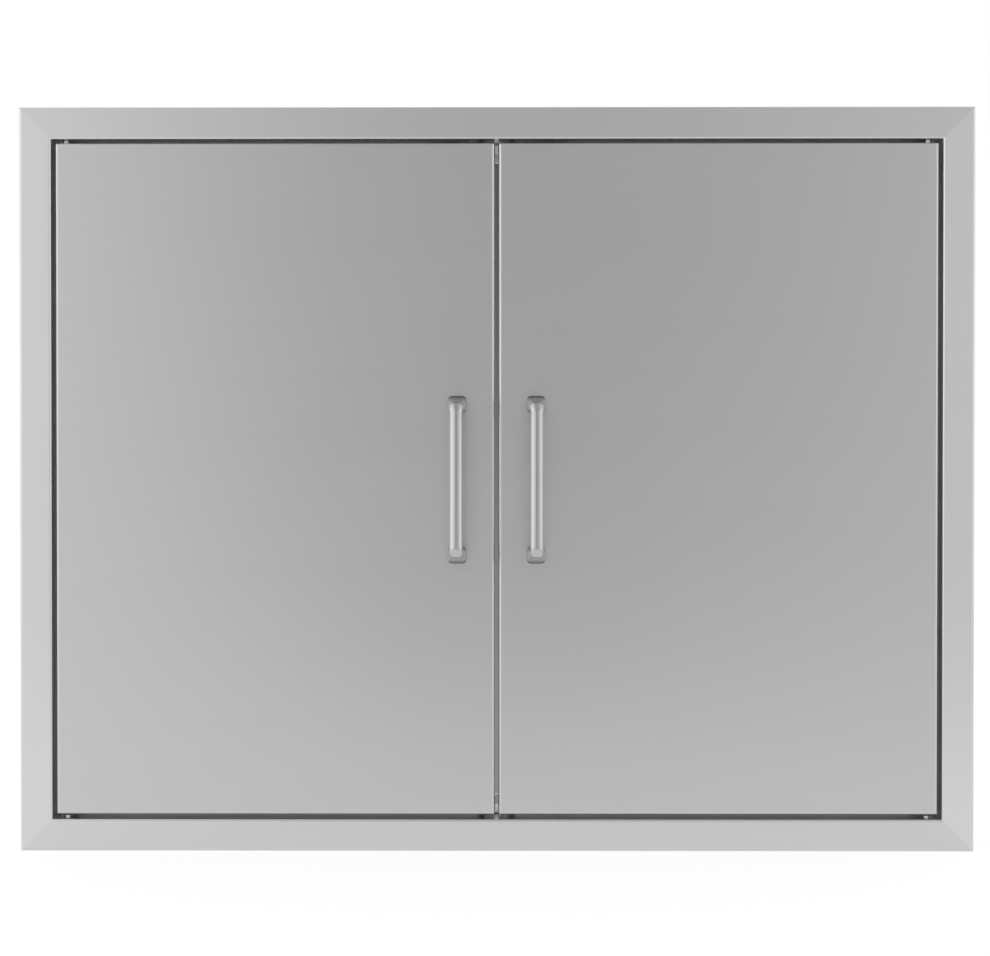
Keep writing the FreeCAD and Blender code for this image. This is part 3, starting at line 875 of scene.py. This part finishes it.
@dataclass
class PlungerSpring:
    """Coiled compression spring of the upper pivot."""

    shop: Workshop
    side: Side
    wire: float = 0.0008
    turns: float = 9.0
    travel: float = 0.008
    steps_per_turn: int = 28
    wire_sides: int = 8

    def build(self) -> None:
        """Winds the spring and gives it a mesh of its own."""
        node = f"{self.side.value}_plunger_spring"
        low, high = node_box(node)
        radius = (high.x - low.x) / 2 - self.wire / 2
        centre = Vector(((low.x + high.x) / 2, (low.y + high.y) / 2, 0))
        bottom = low.z + self.wire / 2
        top = high.z - self.wire / 2
        steps = int(self.turns * self.steps_per_turn)
        rings = []
        for i in range(steps + 1):
            turn = 2 * math.pi * i / self.steps_per_turn
            z = self.pitch_height(i / steps, bottom, top)
            out = Vector((math.cos(turn), math.sin(turn), 0))
            middle = centre + out * radius + Vector((0, 0, z))
            rings.append(
                [
                    middle
                    + (out * math.cos(a) + Vector((0, 0, 1)) * math.sin(a)) * self.wire / 2
                    for a in (2 * math.pi * k / self.wire_sides for k in range(self.wire_sides))
                ]
            )
        draft = MeshDraft()
        draft.tube(rings)
        piece = draft.build(f"{self.side.value}_coil", self.shop.material(SPRING_STEEL), 60.0)
        install(piece, f"{self.side.value}_door", [node])
        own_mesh(piece)

    def pitch_height(self, share: float, bottom: float, top: float) -> float:
        """Height of the wire along the spring, with a closed turn at each end.

        Args:
            share: Position along the wire, from 0 to 1.
            bottom: Height of the lowest turn.
            top: Height of the highest turn.

        Returns:
            The height of the wire's centre.
        """
        dead = 1.0 / self.turns
        closed = self.wire
        if share < dead:
            return bottom + closed * share / dead
        if share > 1 - dead:
            return top - closed * (1 - share) / dead
        inner = (share - dead) / (1 - 2 * dead)
        return bottom + closed + (top - bottom - 2 * closed) * inner


@dataclass
class Door:
    """One door: skin, liner, handle, screws and the spring plunger at its hinge edge."""

    shop: Workshop
    side: Side

    def build(self) -> None:
        """Dresses the door's nodes and makes its finer pieces."""
        name = self.side.value
        sheet = self.shop.material(DOOR_SHEET)
        dress(f"{name}_door_skin", sheet)
        dress(f"{name}_door_liner", sheet)
        zinc = self.shop.material(ZINC_PLATE)
        for part in ("handle_stiffener", "plunger_bracket", "strike_plate"):
            dress(f"{name}_{part}", zinc)
        dress(f"{name}_pivot_bush", self.shop.material(BLACK_ACETAL))
        dress(f"{name}_plunger_rod", self.shop.material(TURNED_STEEL))
        dress(f"{name}_plunger_clip", self.shop.material(SPRING_STEEL))
        BowHandle(self.shop, self.side).build()
        HandleScrews(self.shop, self.side).build()
        PlungerSpring(self.shop, self.side).build()


@dataclass
class MagneticCatches:
    """The two catches under the top rail."""

    shop: Workshop

    def build(self) -> None:
        """Dresses housings, pole plates and magnets."""
        dress("catch_housings", self.shop.material(BLACK_NYLON))
        dress("catch_magnets", self.shop.material(FERRITE))
        dress("catch_pole_plates", self.shop.material(ZINC_PLATE))


@dataclass(frozen=True)
class Softbox:
    """Rectangular soft lamp that faces the part."""

    name: str
    place: tuple[float, float, float]
    width: float
    height: float
    power: float

    def light(self) -> None:
        """Hangs the lamp in the scene."""
        data = bpy.data.lights.new(self.name, "AREA")
        data.shape = "RECTANGLE"
        data.size = self.width
        data.size_y = self.height
        data.energy = self.power
        lamp = bpy.data.objects.new(self.name, data)
        bpy.context.scene.collection.objects.link(lamp)
        lamp.location = self.place
        lamp.rotation_euler = (-Vector(self.place)).to_track_quat("-Z", "Y").to_euler()


@dataclass
class Studio:
    """Camera, lamps, world and floor.

    The levels are strengths of the surroundings, where 1 is white. The starts and ends of their soft
    steps in the world are parts of a unit direction, and those on the floor and card are in metres.
    """

    effects: Effects
    distance: float = 1.40
    millimetres_per_pixel: float = 0.8875
    centre_x_pixel: float = 496.6
    centre_z_pixel: float = 479.8
    yaw_offset: float = 0.006
    rise_offset: float = 0.0135
    sensor_width: float = 36.0
    view_depth: float = 50.0
    floor_size: float = 12.0
    floor_colour: float = 0.92
    floor_roughness: float = 0.7
    front_level: float = 0.48
    left_rise: float = 0.50
    right_rise: float = 0.26
    side_start: float = 0.04
    side_end: float = 0.42
    side_rise: float = 0.26
    aside_start: float = 0.5
    aside_end: float = 0.95
    back_level: float = 0.80
    back_end: float = 0.4
    ceiling_share: float = 1.05
    ceiling_start: float = 0.45
    ceiling_end: float = 0.95
    floor_share: float = 0.62
    floor_glow: float = 1.22
    near_floor: float = 1.0
    far_share: float = 0.90
    fade_start: float = 0.15
    fade_end: float = 1.6
    # The gap levels set the glow of the painted shade card behind the opening
    gap_level: float = 0.18
    gap_low: float = -0.30
    gap_high: float = 0.32
    gap_low_share: float = 1.4
    gap_high_share: float = 0.5
    gap_middle: float = 0.10
    gap_edge: float = 0.40
    gap_edge_share: float = 0.45

    SOFTBOXES = (
        Softbox("left_softbox", (-1.7, -1.2, 0.35), 1.8, 2.2, 1.6),
        Softbox("right_softbox", (1.9, -1.3, 0.2), 1.6, 2.0, 2.0),
    )

    def build(self, low: Vector, high: Vector) -> None:
        """Sets the studio round the part.

        Args:
            low: Lowest corner of the part's box.
            high: Its highest corner.
        """
        scene = bpy.context.scene
        scene.view_settings.view_transform = "Standard"
        self.make_camera()
        self.make_world()
        self.make_floor(low.z)
        self.make_shade_card(high)
        for softbox in self.SOFTBOXES:
            softbox.light()

    def make_camera(self) -> None:
        """Level camera that frames the front of the face frame as the photograph does."""
        face = node_box("frame_top_rail")[0].y
        unit = self.millimetres_per_pixel / 1000
        width = PHOTO_WIDTH * unit
        data = bpy.data.cameras.new("photo_camera")
        data.sensor_fit = "HORIZONTAL"
        data.sensor_width = self.sensor_width
        data.lens = self.sensor_width * self.distance / width
        data.clip_end = self.view_depth
        camera = bpy.data.objects.new("photo_camera", data)
        bpy.context.scene.collection.objects.link(camera)
        aside = (self.centre_x_pixel - PHOTO_WIDTH / 2) * unit
        up = (self.centre_z_pixel - PHOTO_HEIGHT / 2) * unit
        target = Vector((-aside, face, up))
        camera.location = target + Vector((self.yaw_offset, -self.distance, self.rise_offset))
        camera.rotation_euler = (target - camera.location).to_track_quat("-Z", "Y").to_euler()
        bpy.context.scene.camera = camera

    def make_world(self) -> None:
        """White behind the part, and a studio that is darker in front and above than at the sides."""
        world = bpy.data.worlds.new("studio")
        bpy.context.scene.world = world
        world.use_nodes = True
        nodes = world.node_tree.nodes
        nodes.clear()
        canvas = Canvas(world.node_tree)
        way = canvas.add("ShaderNodeTexCoord").outputs["Generated"]
        round_about = canvas.add("ShaderNodeGroup", node_tree=self.horizon())
        canvas.tree.links.new(way, round_about.inputs["Way"])
        height = canvas.add("ShaderNodeSeparateXYZ", {0: way}).outputs["Z"]
        ceiling = canvas.ease(
            height, self.ceiling_start, self.ceiling_end, 1.0, self.ceiling_share
        )
        level = canvas.maths("MULTIPLY", round_about.outputs["Level"], ceiling)
        light = canvas.add("ShaderNodeBackground", {"Color": level, "Strength": 1.0})
        white = canvas.add("ShaderNodeBackground", {"Color": (1, 1, 1, 1), "Strength": 1.0})
        path = canvas.add("ShaderNodeLightPath")
        mix = canvas.add(
            "ShaderNodeMixShader",
            {0: path.outputs["Is Camera Ray"], 1: light.outputs[0], 2: white.outputs[0]},
        )
        canvas.add("ShaderNodeOutputWorld", {"Surface": mix.outputs[0]})

    def horizon(self) -> bpy.types.NodeTree:
        """Brightness by direction: dim in front of the part, and brighter at the sides and behind."""

        def fill(canvas: Canvas, given: dict, end: bpy.types.Node) -> None:
            """Smooth steps to the left, to the right and to the back."""
            parts = canvas.add("ShaderNodeSeparateXYZ", {0: given["Way"]}).outputs
            leftward = canvas.maths("MULTIPLY", parts["X"], -1.0)
            left = canvas.ease(leftward, self.side_start, self.side_end, 0.0, self.left_rise)
            right = canvas.ease(parts["X"], self.side_start, self.side_end, 0.0, self.right_rise)
            either = canvas.maths("ABSOLUTE", parts["X"])
            side_level = self.front_level + self.side_rise
            aside = canvas.ease(
                either, self.aside_start, self.aside_end, self.front_level, side_level
            )
            front = canvas.maths("ADD", canvas.maths("ADD", left, right), aside)
            behind = canvas.ease(parts["Y"], 0.0, self.back_end, 0.0, 1.0)
            gap = canvas.maths("SUBTRACT", self.back_level, front)
            level = canvas.maths("MULTIPLY_ADD", behind, gap, front)
            canvas.tree.links.new(level, end.inputs["Level"])

        return self.effects.group(
            "Horizon", {"Way": ("NodeSocketVector", (0.0, -1.0, 0.0))}, ("Level",), fill
        )

    def make_floor(self, height: float) -> None:
        """Pale floor that is white to the camera and keeps a soft shadow."""
        material = bpy.data.materials.new("Pale floor")
        material.use_nodes = True
        canvas = Canvas(material.node_tree)
        surface = material.node_tree.nodes["Principled BSDF"]
        surface.inputs["Base Color"].default_value = (*(self.floor_colour,) * 3, 1.0)
        surface.inputs["Roughness"].default_value = self.floor_roughness
        path = canvas.add("ShaderNodeLightPath")
        place = canvas.add("ShaderNodeTexCoord").outputs["Object"]
        flat = canvas.add(
            "ShaderNodeVectorMath", {0: place, 1: (1.0, 1.0, 0.0)}, operation="MULTIPLY"
        ).outputs[0]
        away = canvas.add("ShaderNodeVectorMath", {0: flat}, operation="LENGTH").outputs["Value"]
        way = canvas.add("ShaderNodeVectorMath", {0: flat}, operation="NORMALIZE").outputs[0]
        round_about = canvas.add("ShaderNodeGroup", node_tree=self.horizon())
        canvas.tree.links.new(way, round_about.inputs["Way"])
        far = canvas.maths("MULTIPLY", round_about.outputs["Level"], self.far_share)
        fade = canvas.ease(away, self.fade_start, self.fade_end, 0.0, 1.0)
        mirrored = canvas.maths(
            "MULTIPLY_ADD", fade, canvas.maths("SUBTRACT", far, self.near_floor), self.near_floor
        )
        seen_direct = canvas.maths("MULTIPLY", path.outputs["Is Camera Ray"], self.floor_glow)
        not_camera = canvas.maths("SUBTRACT", 1.0, path.outputs["Is Camera Ray"])
        level = canvas.maths("MULTIPLY_ADD", mirrored, not_camera, seen_direct)
        glow = canvas.add("ShaderNodeEmission", {"Color": level, "Strength": 1.0})
        seen = canvas.maths("MAXIMUM", path.outputs["Is Camera Ray"], path.outputs["Is Glossy Ray"])
        share = canvas.maths("MULTIPLY", seen, self.floor_share)
        mix = canvas.add("ShaderNodeMixShader", {0: share, 1: surface.outputs[0], 2: glow.outputs[0]})
        output = material.node_tree.nodes["Material Output"]
        canvas.tree.links.new(mix.outputs[0], output.inputs["Surface"])
        half = self.floor_size / 2
        corners = [(-half, -half), (half, -half), (half, half), (-half, half)]
        draft = MeshDraft()
        draft.cap(draft.ring([Vector((x, y, height)) for x, y in corners]))
        draft.build("pale_floor", material)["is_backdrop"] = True

    def make_shade_card(self, high: Vector) -> None:
        """Glowing card behind the opening, painted shade in place of the island's dark inside: brighter
        at the bottom, darker towards the top and the sides, seen only by the camera from the front.
        """
        material = bpy.data.materials.new("Painted shade card")
        material.use_nodes = True
        canvas = Canvas(material.node_tree)
        material.node_tree.nodes.remove(material.node_tree.nodes["Principled BSDF"])
        # The card glows with painted shade, graded by height and by distance from the middle
        place = canvas.add("ShaderNodeTexCoord").outputs["Object"]
        parts = canvas.add("ShaderNodeSeparateXYZ", {0: place}).outputs
        lower = self.gap_level * self.gap_low_share
        upper = self.gap_level * self.gap_high_share
        upright = canvas.ease(parts["Z"], self.gap_low, self.gap_high, lower, upper)
        aside = canvas.maths("ABSOLUTE", parts["X"])
        across = canvas.ease(aside, self.gap_middle, self.gap_edge, 1.0, self.gap_edge_share)
        level = canvas.maths("MULTIPLY", upright, across)
        dim = canvas.add("ShaderNodeEmission", {"Color": level, "Strength": 1.0})
        clear = canvas.add("ShaderNodeBsdfTransparent")
        path = canvas.add("ShaderNodeLightPath")
        geometry = canvas.add("ShaderNodeNewGeometry")
        front = canvas.maths("SUBTRACT", 1.0, geometry.outputs["Backfacing"])
        seen = canvas.maths("MULTIPLY", path.outputs["Is Camera Ray"], front)
        mix = canvas.add("ShaderNodeMixShader", {0: seen, 1: clear.outputs[0], 2: dim.outputs[0]})
        output = material.node_tree.nodes["Material Output"]
        canvas.tree.links.new(mix.outputs[0], output.inputs["Surface"])
        left = node_box("frame_left_stile")[1].x
        right = node_box("frame_right_stile")[0].x
        bottom = node_box("frame_bottom_rail")[1].z
        top = node_box("frame_top_rail")[0].z
        depth = high.y + 0.001
        draft = MeshDraft()
        corners = [(left, bottom), (right, bottom), (right, top), (left, top)]
        draft.cap(draft.ring([Vector((x, depth, z)) for x, z in corners]))
        draft.build("painted_shade_card", material)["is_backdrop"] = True


def main() -> None:
    """Builds the scene."""
    logging.basicConfig(level=logging.INFO, format="%(name)s: %(message)s")
    low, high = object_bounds()
    shop = Workshop()
    FaceFrame(shop).build()
    for side in Side:
        Door(shop, side).build()
    MagneticCatches(shop).build()
    Studio(shop.effects).build(Vector(low), Vector(high))
    log.info("sizes written")


if __name__ == "__main__":
    main()
